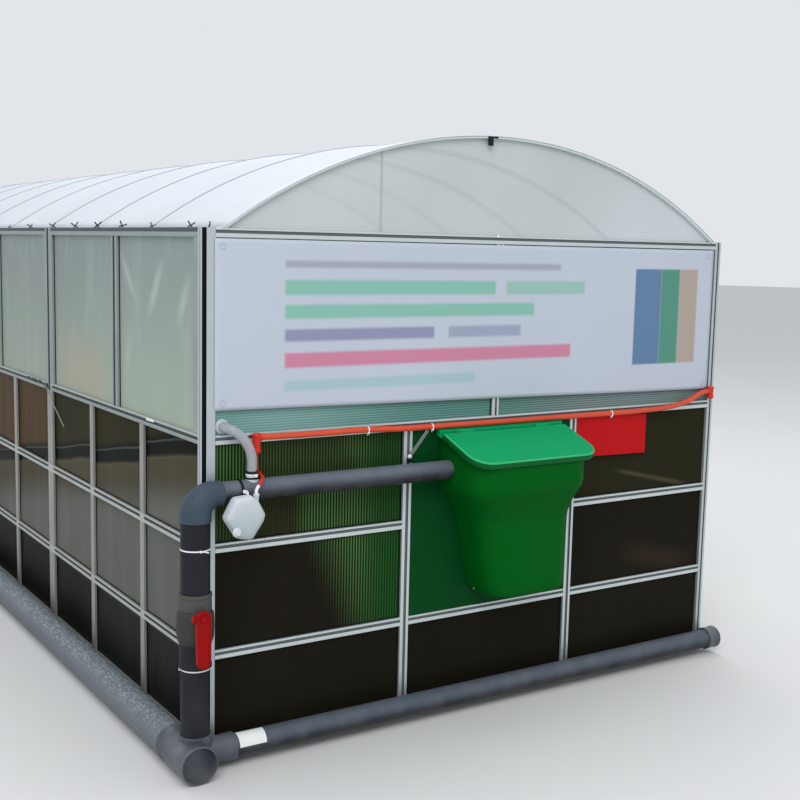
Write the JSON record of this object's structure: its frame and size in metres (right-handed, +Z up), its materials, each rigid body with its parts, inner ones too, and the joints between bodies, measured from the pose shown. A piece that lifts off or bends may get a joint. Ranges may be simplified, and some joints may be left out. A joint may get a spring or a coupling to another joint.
{
  "type": "biogas digester",
  "caption": "Long glazed aluminium tunnel with an arched film roof over a lined biogas tank, with a lidded feed hopper, pipework and a gas line on its front wall.",
  "frame": {"origin": "on the ground under the middle of the front wall, in line with its outer face", "axes": "+Z up, +Y from the front wall into the length of the tunnel, +X to the right as seen from the front"},
  "size_m": [2.421, 8.1309, 2.048],
  "materials": {
    "aluminium_frame": "satin extruded sections",
    "dark_sheet": "dark twin-wall sheet, glossy",
    "frosted_sheet": "frosted twin-wall sheet",
    "roof_film": "stretched white film",
    "gable_sheet": "pale ribbed sheet",
    "galvanised_steel": "galvanised",
    "liner": "dark membrane",
    "green_membrane": "green gas-tight membrane",
    "green_plastic": "moulded green plastic",
    "blue_pipe": "dark blue-grey pipe",
    "pipe_fitting": "grey moulded fittings",
    "red_plastic": "red moulded plastic",
    "gas_hose": "orange-red gas hose",
    "vent_hose": "clear reinforced hose",
    "white_plastic": "white moulded plastic",
    "vinyl": "pale vinyl banner"
  },
  "bodies": {
    "structure": {"corner_post_front_left": "aluminium_frame", "corner_post_front_right": "aluminium_frame", "corner_post_rear_left": "aluminium_frame", "corner_post_rear_right": "aluminium_frame", "front_frame": "aluminium_frame", "rear_frame": "aluminium_frame", "left_frame_1": "aluminium_frame", "left_frame_2": "aluminium_frame", "left_frame_3": "aluminium_frame", "left_frame_4": "aluminium_frame", "left_frame_5": "aluminium_frame", "right_frame_1": "aluminium_frame", "right_frame_2": "aluminium_frame", "right_frame_3": "aluminium_frame", "right_frame_4": "aluminium_frame", "right_frame_5": "aluminium_frame", "front_sheet_lower": "dark_sheet", "rear_sheet_lower": "dark_sheet", "left_sheet_lower": "dark_sheet", "right_sheet_lower": "dark_sheet", "front_sheet_upper": "frosted_sheet", "rear_sheet_upper": "frosted_sheet", "left_sheet_upper": "frosted_sheet", "right_sheet_upper": "frosted_sheet", "roof_film": "roof_film", "front_gable": "gable_sheet", "rear_gable": "gable_sheet", "roof_hoops": "galvanised_steel", "lid_hinge": "galvanised_steel", "tank_liner": "liner", "gas_holder": "green_membrane", "hopper_panel": "green_plastic", "hopper_body": "green_plastic", "hopper_rear_rail": "green_plastic", "outlet_pipe": "blue_pipe", "riser_upper": "blue_pipe", "riser_lower": "blue_pipe", "drain_pipe": "blue_pipe", "side_main_pipe": "blue_pipe", "outlet_elbow": "pipe_fitting", "valve_body": "pipe_fitting", "drain_tee": "pipe_fitting", "drain_coupling": "pipe_fitting", "side_main_coupling": "pipe_fitting", "vent_gland": "pipe_fitting", "vent_saddle": "pipe_fitting", "gas_start_tee": "red_plastic", "gas_end_tee": "red_plastic", "feed_sign": "red_plastic", "gas_hose": "gas_hose", "vent_hose": "vent_hose", "seal_bottle": "white_plastic", "bottle_tie": "white_plastic", "bottle_tube": "white_plastic", "banner": "vinyl"},
    "lid": {"hopper_lid": "green_plastic"},
    "lever": {"valve_lever": "red_plastic"}
  },
  "joints": [
    {"name": "lid_hinge", "type": "hinge", "parent": "structure", "child": "lid", "pos_m": [0.0205, -0.03, 1.014], "axis": [-1, 0, 0], "range_deg": [0, 100]},
    {"name": "valve_turn", "type": "hinge", "parent": "structure", "child": "lever", "pos_m": [-1.2, -0.14, 0.522], "axis": [0, 1, 0], "range_deg": [0, 90]}
  ]
}
